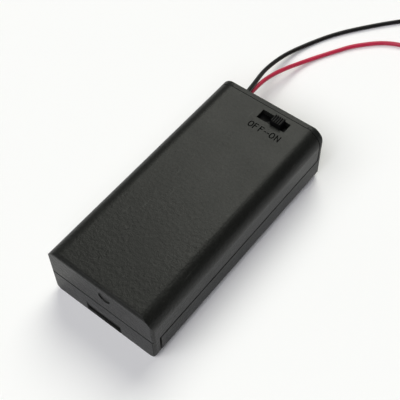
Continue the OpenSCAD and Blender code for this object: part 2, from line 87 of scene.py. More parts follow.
def tinted(colour: Colour, gain: float, lift: float = 0.0) -> Colour:
    """Returns a colour times gain, plus lift, and at most 1."""
    return tuple(min(1.0, c * gain + lift) for c in colour)


def mm(points: Sequence) -> Array:
    """Returns points or lengths given in millimetres as an array in metres."""
    return np.asarray(points, dtype=float) * MM


def add_object(name: str, data: bpy.types.ID) -> bpy.types.Object:
    """Makes an object of some data and puts it into the scene.

    Args:
        name: The object's name.
        data: Its mesh, curve, camera or light.

    Returns:
        The object.
    """
    made = bpy.data.objects.new(name, data)
    bpy.context.scene.collection.objects.link(made)
    return made


def placing(axes: Array, place: Sequence[float]) -> Matrix:
    """Returns the matrix of an object with the given axes, as columns, at the given place.

    Args:
        axes: Directions of the object's X, Y and Z, one a column.
        place: Its origin.

    Returns:
        The four by four matrix.
    """
    matrix = np.eye(4)
    matrix[:3, :3] = axes
    matrix[:3, 3] = place
    return Matrix(matrix.tolist())


# ------------------------ camera


@dataclass(frozen=True)
class ViewPoint:
    """Camera over the near right corner of the holder, a little rolled. Angles in degrees."""

    azimuth: float = 39.662
    elevation: float = 55.203
    roll: float = -1.662
    place: Tuple[float, float, float] = (0.07916, -0.09209, 0.18778)
    lens: float = 75.30
    sensor: float = 36.0
    nearest: float = 0.005
    farthest: float = 20.0

    def axes(self) -> Array:
        """Works out which way the camera is turned.

        The view direction comes from azimuth and elevation, and the right and up directions are
        then turned about it by the roll.

        Returns:
            The camera's right, up and backward directions, as columns.
        """
        az, el, roll = (math.radians(a) for a in (self.azimuth, self.elevation, self.roll))
        ahead = np.array([-math.sin(az) * math.cos(el), math.cos(az) * math.cos(el), -math.sin(el)])
        right = np.cross(ahead, [0, 0, 1])
        right /= np.linalg.norm(right)
        up = np.cross(right, ahead)
        turned_right = right * math.cos(roll) + up * math.sin(roll)
        turned_up = up * math.cos(roll) - right * math.sin(roll)
        return np.column_stack([turned_right, turned_up, -ahead])

    def build(self) -> bpy.types.Object:
        """Makes the camera and gives it to the scene.

        Returns:
            The camera.
        """
        lens = bpy.data.cameras.new("view")
        lens.lens, lens.sensor_width = self.lens, self.sensor
        lens.clip_start, lens.clip_end = self.nearest, self.farthest
        camera = add_object("view", lens)
        camera.matrix_world = placing(self.axes(), self.place)
        bpy.context.scene.camera = camera
        return camera


# ------------------------ shader graphs


class Graph:
    """A material's node tree, with short calls for the nodes that the finishes use."""

    EDGE_SAMPLES = 6
    # Cosine of the lean between a face and its rounded edge: none, and a full edge.
    EDGE_LEAN: Range = (1.0, 0.8)

    def __init__(self, name: str) -> None:
        """Starts a material with one principled shader and its Object coordinates.

        Args:
            name: The material's name.
        """
        self.material = bpy.data.materials.new(name)
        self.material.use_nodes = True
        self.nodes = self.material.node_tree.nodes
        self.links = self.material.node_tree.links
        self.shader = self.nodes["Principled BSDF"]
        self.where = self.nodes.new("ShaderNodeTexCoord").outputs["Object"]

    def put(self, socket: Socket, value: Value) -> None:
        """Links an output to a socket, or sets the socket to a plain value.

        Args:
            socket: The input to fill.
            value: An output, a number or a colour; None leaves the input as it is.
        """
        if isinstance(value, Socket):
            self.links.new(value, socket)
        elif value is not None:
            if isinstance(value, tuple) and len(value) == 3 and socket.type == "RGBA":
                value = (*value, 1.0)
            socket.default_value = value

    def set(self, **values: Value) -> None:
        """Sets sockets of the principled shader; an underscore stands for a space."""
        for key, value in values.items():
            self.put(self.shader.inputs[key.replace("_", " ")], value)

    def stretch(self, scale: Tuple[float, float, float], turn: float = 0.0) -> Socket:
        """Stretches the piece's own coordinates and turns them about Z.

        Args:
            scale: Factor along each axis; a small one draws a pattern out.
            turn: Angle in degrees.

        Returns:
            The coordinates.
        """
        node = self.nodes.new("ShaderNodeMapping")
        node.inputs["Scale"].default_value = scale
        node.inputs["Rotation"].default_value[2] = math.radians(turn)
        self.links.new(self.where, node.inputs["Vector"])
        return node.outputs[0]

    def texture(self, kind: str, size: float, at: Optional[Socket] = None) -> bpy.types.Node:
        """Adds a texture whose features are about size across.

        Args:
            kind: The texture node's type.
            size: Width of one feature.
            at: Coordinates to read, if not the piece's own.

        Returns:
            The node.
        """
        node = self.nodes.new(kind)
        self.links.new(at or self.where, node.inputs["Vector"])
        node.inputs["Scale"].default_value = 1 / size
        return node

    def noise(self, size: float, detail: float = 2.0, rough: float = 0.5,
              at: Optional[Socket] = None) -> Socket:
        """Adds a noise from 0 to 1.

        Args:
            size: Width of one blob.
            detail: How many finer layers lie on it.
            rough: Strength of each layer, as a share of the one before.
            at: Coordinates to read, if not the piece's own.

        Returns:
            The noise.
        """
        node = self.texture("ShaderNodeTexNoise", size, at)
        node.inputs["Detail"].default_value = detail
        node.inputs["Roughness"].default_value = rough
        return node.outputs["Fac"]

    def cells(self, size: float) -> Socket:
        """Returns the distance to the nearest of a set of scattered points, size apart."""
        return self.texture("ShaderNodeTexVoronoi", size).outputs["Distance"]

    def math(self, kind: str, a: Value, b: Value) -> Socket:
        """Adds one step of arithmetic.

        Args:
            kind: The operation.
            a: Its first value or output.
            b: Its second value or output.

        Returns:
            The result.
        """
        node = self.nodes.new("ShaderNodeMath")
        node.operation = kind
        self.put(node.inputs[0], a)
        self.put(node.inputs[1], b)
        return node.outputs[0]

    def span(self, value: Value, band: Range, onto: Range = (0.0, 1.0)) -> Socket:
        """Rescales a value from one range to another, and clamps it there.

        Args:
            value: The value or output.
            band: The range that it comes from.
            onto: The range that it goes to.

        Returns:
            The rescaled value.
        """
        node = self.nodes.new("ShaderNodeMapRange")
        self.put(node.inputs["Value"], value)
        for key, number in zip(("From Min", "From Max", "To Min", "To Max"), (*band, *onto)):
            node.inputs[key].default_value = number
        return node.outputs[0]

    def mix(self, share: Value, a: Value, b: Value) -> Socket:
        """Mixes two colours.

        Args:
            share: How much of the second there is, from 0 to 1.
            a: The first colour.
            b: The second colour.

        Returns:
            The mixed colour.
        """
        node = self.nodes.new("ShaderNodeMix")
        node.data_type = "RGBA"
        self.put(node.inputs["Factor"], share)
        self.put(node.inputs[6], a)
        self.put(node.inputs[7], b)
        return node.outputs[2]

    def round_edge(self, radius: float) -> Socket:
        """Rounds the edges of the surface in its normal.

        Args:
            radius: Radius of the rounded edges.

        Returns:
            The normal.
        """
        node = self.nodes.new("ShaderNodeBevel")
        node.samples = self.EDGE_SAMPLES
        node.inputs["Radius"].default_value = radius
        return node.outputs[0]

    def edge_share(self, rounded: Socket) -> Socket:
        """Finds the edges of the piece.

        Args:
            rounded: The normal from round_edge.

        Returns:
            How far that normal leans from the face's own, from 0 on flats to 1 on edges.
        """
        face = self.nodes.new("ShaderNodeNewGeometry").outputs["Normal"]
        node = self.nodes.new("ShaderNodeVectorMath")
        node.operation = "DOT_PRODUCT"
        self.links.new(face, node.inputs[0])
        self.links.new(rounded, node.inputs[1])
        return self.span(node.outputs["Value"], self.EDGE_LEAN)

    def along(self, axis: str) -> Socket:
        """Picks one of the piece's own coordinates.

        Args:
            axis: X, Y or Z.

        Returns:
            The coordinate, in metres.
        """
        node = self.nodes.new("ShaderNodeSeparateXYZ")
        self.links.new(self.where, node.inputs[0])
        return node.outputs[axis]

    def bump(self, height: Value, depth: float, strength: Value = 1.0,
             under: Value = None) -> Socket:
        """Adds relief to the surface.

        Args:
            height: The relief, from 0 to 1.
            depth: Metres that a height of 1 stands for.
            strength: How much of the relief shows.
            under: The normal that it lies on, if not the surface's own.

        Returns:
            The new normal.
        """
        node = self.nodes.new("ShaderNodeBump")
        node.inputs["Distance"].default_value = depth
        self.put(node.inputs["Strength"], strength)
        self.put(node.inputs["Height"], height)
        self.put(node.inputs["Normal"], under)
        return node.outputs[0]


# ------------------------ finishes


@dataclass(frozen=True)
class Finish:
    """A named surface finish; each kind says how its shader is built."""

    name: str
    colour: Colour
    roughness: float

    def about(self, below: float, above: float) -> Range:
        """Returns the range of roughness from below the finish's own to above it."""
        return self.roughness - below, self.roughness + above

    def dress(self, graph: Graph) -> None:
        """Fills in the shader of this finish."""
        raise NotImplementedError

    def material(self) -> bpy.types.Material:
        """Makes this finish's material on first use.

        Returns:
            The material.
        """
        own = f"{self.name}_finish"
        found = bpy.data.materials.get(own)
        if found:
            return found
        graph = Graph(own)
        self.dress(graph)
        return graph.material


@dataclass(frozen=True)
class GrainedPlastic(Finish):
    """Moulded plastic from a spark-eroded tool: fine matte grain, faint flow marks and scuffs.

    The grain is full up to grainy_y and faint from smooth_y on, both along Y. The coarse grain
    is given in sizes and depths of the fine one.
    """

    grain: float = 0.00030
    depth: float = 0.000045
    coarse_size: float = 3.2
    coarse_depth: float = 2.2
    specular: float = 0.2
    edge: float = 0.00012
    grainy_y: float = -0.030
    smooth_y: float = 0.004
    faintest: float = 0.3
    fade_patch: float = 0.014
    fade_shift: float = 0.008
    cloud_size: float = 0.011
    speck_size: float = 0.0016
    speck_patch: float = 0.0021
    scuff_size: float = 0.0007
    scuff_patch: float = 0.009
    scuff_stretch: Tuple[float, float, float] = (1.0, 0.09, 1.0)
    scuff_turn: float = 24.0
    mark_share: float = 0.4
    rub_patch: float = 0.0018
    rub_share: Range = (0.1, 0.5)

    def wear(self, graph: Graph, rounded: Socket) -> Socket:
        """Works out where the plastic is worn pale: rubbed edges, dust specks and scuffs.

        Args:
            graph: The material's graph.
            rounded: The normal with rounded edges.

        Returns:
            The share of wear, from 0 to 1.
        """
        speck = graph.span(graph.cells(self.speck_size), (0.05, 0.13), (1.0, 0.0))
        rare = graph.span(graph.noise(self.speck_patch), (0.60, 0.66))
        dust = graph.math("MULTIPLY", speck, rare)
        drawn_out = graph.stretch(self.scuff_stretch, self.scuff_turn)
        line = graph.span(graph.noise(self.scuff_size, at=drawn_out), (0.66, 0.72))
        zone = graph.span(graph.noise(self.scuff_patch), (0.52, 0.62))
        marks = graph.math("MAXIMUM", dust, graph.math("MULTIPLY", line, zone))
        patch = graph.span(graph.noise(self.rub_patch, detail=3), (0.35, 0.65), self.rub_share)
        rubbed = graph.math("MULTIPLY", graph.edge_share(rounded), patch)
        return graph.math("MAXIMUM", rubbed, graph.math("MULTIPLY", marks, self.mark_share))

    def dress(self, graph: Graph) -> None:
        """Grain goes into bump and roughness; clouds, grain and wear shift the colour.

        Args:
            graph: The material's graph.
        """
        fine = graph.noise(self.grain, detail=3, rough=0.6)
        coarse = graph.noise(self.grain * self.coarse_size)
        cloud = graph.noise(self.cloud_size)
        rounded = graph.round_edge(self.edge)
        shift = graph.span(graph.noise(self.fade_patch), BODY, (-self.fade_shift, self.fade_shift))
        relief = graph.span(graph.math("ADD", graph.along("Y"), shift),
                            (self.grainy_y, self.smooth_y), (1.0, self.faintest))
        ground = graph.mix(graph.span(cloud, BODY), tinted(self.colour, 0.7), self.colour)
        ground = graph.mix(graph.span(fine, (0.35, 0.75), (0.0, 0.6)), ground,
                           tinted(self.colour, 1.6, 0.003))
        graph.set(
            Base_Color=graph.mix(self.wear(graph, rounded), ground, tinted(self.colour, 4, 0.01)),
            Roughness=graph.math("ADD", graph.span(cloud, BODY, (-0.03, 0.03)),
                                 graph.span(fine, BODY, self.about(0.07, 0.07))),
            Specular_IOR_Level=self.specular,
            Normal=graph.bump(fine, self.depth, relief,
                              graph.bump(coarse, self.depth * self.coarse_depth, relief, rounded)),
        )


@dataclass(frozen=True)
class SmoothPlastic(Finish):
    """Smooth moulded plastic, with a faint unevenness and rubbed high spots."""

    ripple: float = 0.0005
    ripple_depth: float = 0.00001
    rub_size: float = 0.002
    specular: float = 0.12

    def dress(self, graph: Graph) -> None:
        """A slow ripple sits in the bump, and fine rubbing lifts the roughness.

        Args:
            graph: The material's graph.
        """
        rub = graph.noise(self.rub_size, detail=3)
        graph.set(
            Base_Color=graph.mix(graph.span(rub, (0.35, 0.75), (0.0, 0.5)), self.colour,
                                 tinted(self.colour, 1.6, 0.004)),
            Roughness=graph.span(rub, BODY, self.about(0.06, 0.1)),
            Specular_IOR_Level=self.specular,
            Normal=graph.bump(graph.noise(self.ripple), self.ripple_depth),
        )


@dataclass(frozen=True)
class LeadSleeve(Finish):
    """Soft vinyl sleeve of a lead: a waxy gloss over strands that show through a little."""

    sheen: float = 0.15
    specular: float = 0.35
    coat_roughness: float = 0.3
    lump_size: float = 0.0022
    lump_depth: float = 0.00006
    lump_strength: float = 0.6
    pore_size: float = 0.0003
    pore_depth: float = 0.000006
    patch_size: float = 0.004

    def dress(self, graph: Graph) -> None:
        """Long soft lumps follow the strands, and handling leaves duller patches.

        Args:
            graph: The material's graph.
        """
        patch = graph.noise(self.patch_size)
        lumps = graph.bump(graph.noise(self.lump_size, detail=1), self.lump_depth,
                           self.lump_strength)
        graph.set(
            Base_Color=graph.mix(graph.span(patch, BODY), tinted(self.colour, 0.8), self.colour),
            Roughness=graph.span(patch, BODY, self.about(0.05, 0.1)),
            Specular_IOR_Level=self.specular,
            Coat_Weight=self.sheen,
            Coat_Roughness=self.coat_roughness,
            Normal=graph.bump(graph.noise(self.pore_size), self.pore_depth, 1.0, lumps),
        )


class Grain(Enum):
    """Which way the fine lines of a metal run, as the stretch of its pattern."""

    ROLLED = (0.06, 1.0, 1.0)
    DRAWN = (1.0, 0.06, 1.0)
    CAST = (1.0, 1.0, 1.0)


@dataclass(frozen=True)
class Metal(Finish):
    """Bare or plated metal with fine lines from rolling or drawing, and light tarnish."""

    grain: Grain = Grain.ROLLED
    tarnish: float = 0.3
    line_size: float = 0.00016
    line_depth: float = 0.000004
    patch_size: float = 0.0018

    def dress(self, graph: Graph) -> None:
        """Lines go into bump and roughness, and tarnish darkens the colour in patches.

        Args:
            graph: The material's graph.
        """
        lines = graph.noise(self.line_size, detail=3, at=graph.stretch(self.grain.value))
        patch = graph.noise(self.patch_size, detail=3)
        graph.set(
            Base_Color=graph.mix(graph.span(patch, (0.5, 0.8), (0.0, self.tarnish)), self.colour,
                                 tinted(self.colour, 0.62)),
            Metallic=1.0,
            Roughness=graph.math("ADD", graph.span(patch, (0.4, 0.8), (0.0, 0.15)),
                                 graph.span(lines, BODY, self.about(0.06, 0.08))),
            Normal=graph.bump(lines, self.line_depth),
        )


@dataclass(frozen=True)
class PaperBoard(Finish):
    """Brown bonded-paper board of the switch, with short fibres in its surface."""

    fibre_size: float = 0.00012
    fibre_depth: float = 0.000008
    fibre_turn: float = 20.0

    def dress(self, graph: Graph) -> None:
        """Two crossed sets of fibres tint the colour and roughen it.

        Args:
            graph: The material's graph.
        """
        ways = (graph.stretch(way, self.fibre_turn) for way in ((0.1, 1, 1), (1, 0.1, 1)))
        fibres = graph.math("MAXIMUM", *(graph.noise(self.fibre_size, at=way) for way in ways))
        graph.set(
            Base_Color=graph.mix(graph.span(fibres, (0.45, 0.7)), self.colour,
                                 tinted(self.colour, 1.7)),
            Roughness=graph.span(fibres, (0.4, 0.7), self.about(0.0, 0.2)),
            Normal=graph.bump(fibres, self.fibre_depth),
        )


@dataclass(frozen=True)
class StudioFloor(Finish):
    """Plain pale table, matte, with the slight unevenness of painted board."""

    cloud_size: float = 0.25
    cloud_gain: float = 1.01
    specular: float = 0.1

    def dress(self, graph: Graph) -> None:
        """A slow cloud in the colour keeps the floor from being one flat tone.

        Args:
            graph: The material's graph.
        """
        cloud = graph.span(graph.noise(self.cloud_size), BODY)
        graph.set(
            Base_Color=graph.mix(cloud, self.colour, tinted(self.colour, self.cloud_gain)),
            Roughness=self.roughness,
            Specular_IOR_Level=self.specular,
        )


CASE = GrainedPlastic("case_tray", (0.0085, 0.0092, 0.0084), 0.42)
CASE_COVER = GrainedPlastic("case_cover", (0.0085, 0.0090, 0.0080), 0.40)
# Painted shade: a near-black finish for the faces of the sunk words and for the chamfers and gap
# faces of the parting line, where shade falls.
PAINTED_RECESS_SHADE = SmoothPlastic("painted_recess_shade", (0.001, 0.0011, 0.001), 0.85, specular=0.02)
KNOB = SmoothPlastic("switch_knob", (0.003, 0.003, 0.0032), 0.46)
RED_SLEEVE = LeadSleeve("red_sleeve", srgb("be1c42"), 0.38)
BLACK_SLEEVE = LeadSleeve("black_sleeve", (0.004, 0.004, 0.0042), 0.42, sheen=0.08, specular=0.2)
PLATED_SHEET = Metal("plated_sheet", srgb("d2d0c8"), 0.30)
SPRING_WIRE = Metal("spring_wire", srgb("cfcec8"), 0.24, Grain.CAST, 0.15)
SWITCH_CAN = Metal("switch_can", srgb("c8c9c6"), 0.33, Grain.DRAWN)
CONTACT_BRASS = Metal("contact_brass", srgb("d8b26a"), 0.26)
SOLDER = Metal("solder", srgb("c4c6c8"), 0.22, Grain.CAST, 0.4)
TINNED_WIRE = Metal("tinned_wire", srgb("cfd0d0"), 0.28, Grain.CAST, 0.3)
BOARD = PaperBoard("switch_board", srgb("6a3f1e"), 0.55)
FLOOR = StudioFloor("studio_floor", (0.93, 0.93, 0.93), 0.8)

NODE_FINISHES = {
    "base_tray": CASE, "cover": CASE_COVER,
    "near_bridge_plate": PLATED_SHEET, "near_bridge_spring": SPRING_WIRE,
    "far_negative_plate": PLATED_SHEET, "far_negative_spring": SPRING_WIRE,
    "far_positive_plate": PLATED_SHEET,
    "switch_frame": SWITCH_CAN, "switch_board": BOARD, "switch_terminals": CONTACT_BRASS,
    "switch_slider": KNOB, "switch_wiper": CONTACT_BRASS,
    "link_wire": RED_SLEEVE, "solder_joints": SOLDER,
    "black_lead": BLACK_SLEEVE, "red_lead": RED_SLEEVE,
    "black_coil": BLACK_SLEEVE, "red_coil": RED_SLEEVE,
    "black_bare_end": TINNED_WIRE, "red_bare_end": TINNED_WIRE,
}


# ------------------------ shared geometry


def unit(vectors: Array) -> Array:
    """Returns vectors scaled to length one, along the last axis."""
    return vectors / np.linalg.norm(vectors, axis=-1, keepdims=True)


def run_length(path: Array) -> float:
    """Returns the length of a path of points."""
    return float(np.linalg.norm(np.diff(path, axis=0), axis=1).sum())


def eased(path: Array, samples: int) -> Array:
    """Returns a smooth path through the points of a coarse one.

    Between each two points the path is the cubic whose slope at a point is half the step from the
    point before it to the point after it.

    Args:
        path: The coarse points, one a row.
        samples: Steps between two neighbouring points.

    Returns:
        The points of the smooth path.
    """
    ends = np.vstack([2 * path[0] - path[1], path, 2 * path[-1] - path[-2]])
    a, b, c, d = (p[:, None, :] for p in (ends[:-3], ends[1:-2], ends[2:-1], ends[3:]))
    t = (np.arange(samples) / samples)[None, :, None]
    inner = 0.5 * (2 * b + (c - a) * t + (2 * a - 5 * b + 4 * c - d) * t**2
                   + (3 * b - a - 3 * c + d) * t**3)
    return np.vstack([inner.reshape(-1, 3), path[-1]])


def place_piece(piece: bpy.types.Object, body: str, replaced: Iterable[str]) -> bpy.types.Object:
    """Rides a finished piece on its body, and hides the CAD nodes that it stands for.

    Args:
        piece: The finished piece.
        body: The body that carries it.
        replaced: CAD nodes that it stands for.

    Returns:
        The piece itself.
    """
    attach(piece, body)
    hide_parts(*replaced)
    LOG.info("%s rides on %s", piece.name, body)
    return piece


# ------------------------ leads


@dataclass
class Lead:
    """One flying lead: from its solder joint, out of the case, across the table to its coil.

    The route's points are those of the part's source. The coil is a flat spiral, wound clockwise
    from its outer turn inward; the lead then climbs onto the turns and its tail crosses them.
    Angles are in degrees, and the climb is given in turns before the coil's end.
    """

    name: str
    finish: Finish
    inside: Sequence
    outside: Sequence
    coil_middle: Tuple[float, float]
    coil_start: float
    exit_height: float
    diameter: float = 0.0013
    outer_length: float = 0.150
    bare_length: float = 0.005
    tail_length: float = 0.006
    coil_radius: float = 0.0076
    coil_points: int = 96
    climb_start: float = 0.26
    climb_turns: float = 0.22
    tail_turn: float = 50.0
    tail_first: float = 0.25
    tail_points: int = 6
    route_steps: int = 6
    tail_steps: int = 2
    round_steps: int = 5
    far_y: float = 0.035
    exit_x: float = -0.012

    def laid(self) -> Array:
        """Returns the outside route in the frame: measured off the far face, at rest height."""
        return mm(self.outside) + [0, self.far_y, self.diameter / 2]

    def spare(self) -> float:
        """Returns the length left for the spiral."""
        return (self.outer_length - self.bare_length - self.tail_length
                - (self.laid()[0, 1] - self.far_y) - run_length(self.laid()))

    def turns(self) -> float:
        """Returns the turns that the spare length takes on a flat spiral, one diameter apart."""
        r, d = self.coil_radius, self.diameter
        return (r - math.sqrt(r * r - self.spare() * d / math.pi)) / d

    def spiral(self) -> Array:
        """Works out the coil: its radius falls by one diameter a turn, and its last part climbs.

        The height rises by one diameter, along a smooth step, in the last quarter of a turn.

        Returns:
            The centreline's points.
        """
        turned = np.linspace(0, 1, self.coil_points) * self.turns()
        angle = np.radians(self.coil_start) - 2 * np.pi * turned
        radius = self.coil_radius - self.diameter * turned
        climb = np.clip((turned - self.turns() + self.climb_start) / self.climb_turns, 0, 1)
        height = self.diameter / 2 + self.diameter * climb**2 * (3 - 2 * climb)
        middle = mm(self.coil_middle) + [0, self.far_y]
        return np.column_stack([middle[0] + radius * np.cos(angle),
                                middle[1] + radius * np.sin(angle), height])

    def tail(self) -> Array:
        """Works out the straight tail that lies across the turns.

        Returns:
            The centreline's points.
        """
        angle = math.radians(self.coil_start - 360 * self.turns() - self.tail_turn)
        along = np.array([math.cos(angle), math.sin(angle), 0.0])
        share = np.linspace(self.tail_first, 1, self.tail_points)
        return self.spiral()[-1] + share[:, None] * self.tail_length * along

    def path(self) -> Array:
        """Works out the whole centreline: the eased route, the coil and the tail.

        Returns:
            The centreline's points.
        """
        route = np.vstack([mm(self.inside), self.laid()[:-1], self.spiral()[:1]])
        return np.vstack([eased(route, self.route_steps)[:-1], self.spiral()[:-2],
                          eased(self.tail(), self.tail_steps)])

    def build(self, bare_end: bpy.types.Object) -> bpy.types.Object:
        """Args:
            bare_end: The tinned end that goes on from the sleeve; not used.

        Returns:
            The curve object.
        """
        path = self.path()
        curve = bpy.data.curves.new(f"{self.name}_sleeve", "CURVE")
        curve.dimensions = "3D"
        curve.bevel_depth = self.diameter / 2
        curve.bevel_resolution = self.round_steps
        curve.use_fill_caps = True
        spline = curve.splines.new("POLY")
        spline.points.add(len(path) - 1)
        spline.points.foreach_set("co", np.column_stack([path, np.ones(len(path))]).ravel())
        spline.use_smooth = True
        curve.materials.append(self.finish.material())
        piece = add_object(f"{self.name}_sleeve", curve)
        place_piece(piece, "tray", (f"{self.name}_lead", f"{self.name}_coil"))
        return piece


BLACK_LEAD = Lead(
    name="black", finish=BLACK_SLEEVE,
    inside=[(-10, 26.45, 15.4), (-10, 27.65, 15.4), (-10.3, 28.75, 14.9), (-10.9, 30.15, 13.4),
            (-11.4, 31.35, 11.7), (-11.8, 32.45, 10.4), (-12, 33.45, 9.8)],
    outside=[(-12, 1, 9.15), (-12.1, 4, 9.15), (-12.5, 7, 8.9), (-13.4, 11, 7.8), (-14.5, 15, 6.4),
             (-15.4, 19, 5), (-15.9, 23, 3.7), (-16.1, 27, 2.5), (-15.9, 31, 1.5), (-15.2, 35, 0.7),
             (-14, 39, 0.2), (-12.4, 43, 0), (-10.4, 47, 0), (-8, 51, 0), (-5.2, 55, 0),
             (-2.2, 59, 0), (1, 63, 0), (4.3, 66.8, 0), (7.6, 70.4, 0), (10.8, 73.8, 0)],
    coil_middle=(16.2, 68.4), coil_start=135, exit_height=0.0098,
)
RED_LEAD = Lead(
    name="red", finish=RED_SLEEVE,
    inside=[(3.7, 28.8, 9.4), (3.4, 27.8, 8.2), (1.8, 26.775, 7.2), (-1, 26.775, 6.7),
            (-4, 26.775, 6.5), (-7, 27.85, 6.6), (-9.3, 29.45, 7), (-11, 31.45, 7.6),
            (-12, 33.45, 8.1)],
    outside=[(-12, 1, 7.45), (-12, 3, 7.45), (-12.2, 7, 7.3), (-12.6, 11, 6.6), (-12.9, 15, 5.6),
             (-12.8, 19, 4.5), (-12.4, 23, 3.3), (-11.7, 27, 2.1), (-10.7, 31, 1), (-9.3, 35, 0.3),
             (-7.4, 39, 0), (-5.1, 43, 0), (-2.7, 47, 0), (0.6, 51, 0), (4.2, 54.4, 0),
             (8.3, 56.8, 0), (12.6, 57.9, 0), (17, 58, 0), (21, 58, 0), (25, 58, 0)],
    coil_middle=(25, 50.4), coil_start=90, exit_height=0.0081,
)


# ------------------------ bare ends


@dataclass
class TwistedEnd:
    """Tinned strands that go on from a lead's sleeve: one in the middle and six twisted round it.

    The reaches of the root and of the domed tip are shares of the bare length.
    """

    lead: Lead
    strand_radius: float = 0.0001
    strand_offset: float = 0.00019
    twisted_strands: int = 6
    pitch: float = 0.0042
    rings: int = 48
    sides: int = 10
    root_reach: float = -0.06
    tip_reach: Tuple[float, ...] = (1.012, 1.018, 1.02)
    tip_swell: Tuple[float, ...] = (0.85, 0.5, 0.02)

    def strand(self, offset: float, phase: float) -> Tuple[Array, Array]:
        """Works out one strand as a tube.

        The centre turns about the lead's axis once a pitch, at the given offset; the section is a
        circle square to that axis, and its radius closes to a dome over the last rings.

        Args:
            offset: Distance of the strand's centre from the lead's axis.
            phase: Angle at which the strand starts, in radians.

        Returns:
            The vertices and the four-sided faces.
        """
        ends = self.lead.tail()[-2:]
        along = unit(ends[1] - ends[0])
        side = unit(np.cross([0.0, 0.0, 1.0], along))
        up = np.cross(along, side)
        straight = self.rings - len(self.tip_reach)
        share = np.concatenate([np.linspace(self.root_reach, 1, straight), self.tip_reach])
        swell = np.concatenate([np.ones(straight), self.tip_swell])
        reach = share * self.lead.bare_length
        turn = phase + 2 * np.pi * reach / self.pitch
        around = np.linspace(0, 2 * np.pi, self.sides, endpoint=False)
        radius = self.strand_radius * swell[:, None]
        flat_a = offset * np.cos(turn)[:, None] + radius * np.cos(around)
        flat_b = offset * np.sin(turn)[:, None] + radius * np.sin(around)
        points = (ends[1] + reach[:, None, None] * along + flat_a[..., None] * side
                  + flat_b[..., None] * up)
        index = np.arange(self.rings * self.sides).reshape(self.rings, self.sides)
        onward = np.roll(index, -1, axis=1)
        quads = np.stack([index[:-1], onward[:-1], onward[1:], index[1:]], -1).reshape(-1, 4)
        return points.reshape(-1, 3), quads

    def build(self) -> bpy.types.Object:
        """Makes the strands as one piece that stands for the bare end's node.

        Returns:
            The piece.
        """
        parts = [self.strand(0.0, 0.0)]
        parts += [self.strand(self.strand_offset, 2 * math.pi * k / self.twisted_strands)
                  for k in range(self.twisted_strands)]
        count = self.rings * self.sides
        points = np.vstack([p for p, _ in parts])
        quads = np.vstack([q + k * count for k, (_, q) in enumerate(parts)])
        caps: List[List[int]] = []
        for first in range(0, len(points), count):
            caps.append(list(range(first + self.sides - 1, first - 1, -1)))
            caps.append(list(range(first + count - self.sides, first + count)))
        mesh = bpy.data.meshes.new(f"{self.lead.name}_strands")
        mesh.from_pydata(points.tolist(), [], quads.tolist() + caps)
        mesh.polygons.foreach_set("use_smooth", np.ones(len(mesh.polygons), dtype=bool))
        mesh.materials.append(TINNED_WIRE.material())
        piece = add_object(f"{self.lead.name}_strands", mesh)
        return place_piece(piece, "tray", (f"{self.lead.name}_bare_end",))


# ------------------------ cutting tools


def prism(outline: Array, low: float, high: float) -> Solid:
    """Works out an upright prism.

    Args:
        outline: Its corners, one a row, run anticlockwise.
        low: Height of its foot.
        high: Height of its top.

    Returns:
        The vertices and the faces.
    """
    n = len(outline)
    points = np.vstack([np.column_stack([outline, np.full(n, z)]) for z in (low, high)])
    around = np.arange(n)
    walls = np.stack([around, np.roll(around, -1), np.roll(around, -1) + n, around + n], -1)
    return points, walls.tolist() + [list(range(n - 1, -1, -1)), list(range(n, 2 * n))]


def ring_prism(outer: Array, inner: Array, low: float, high: float) -> Solid:
    """Works out an upright ring, as a prism with a hole.

    Args:
        outer: Corners of its outside, one a row, run anticlockwise.
        inner: As many corners of its inside, run the same way.
        low: Height of its foot.
        high: Height of its top.

    Returns:
        The vertices and the faces.
    """
    n = len(outer)
    loops = [np.column_stack([line, np.full(n, z)]) for line in (outer, inner) for z in (low, high)]
    out_low, out_high, in_low, in_high = (np.arange(n) + k * n for k in range(4))
    bands = ((out_low, out_high), (out_high, in_high), (in_high, in_low), (in_low, out_low))
    turn = [np.stack([a, np.roll(a, -1), np.roll(b, -1), b], -1) for a, b in bands]
    return np.vstack(loops), np.vstack(turn).tolist()


def cutting_tool(name: str, solids: Sequence[Solid],
                 finish: Optional[Finish] = None) -> bpy.types.Object:
    """Makes one object of some solids, all in millimetres, for cutting into a skin.

    Args:
        name: The object's name.
        solids: Closed solids, which may overlap.
        finish: What the cut faces are dressed in, if not as the skin.

    Returns:
        The object, with its faces outward.
    """
    starts = np.cumsum([0] + [len(points) for points, _ in solids])
    faces = [[int(start + i) for i in face]
             for start, (_, own) in zip(starts, solids) for face in own]
    mesh = bpy.data.meshes.new(name)
    mesh.from_pydata(np.vstack([points for points, _ in solids]).tolist(), [], faces)
    if finish:
        mesh.materials.append(finish.material())
    return add_object(name, mesh)


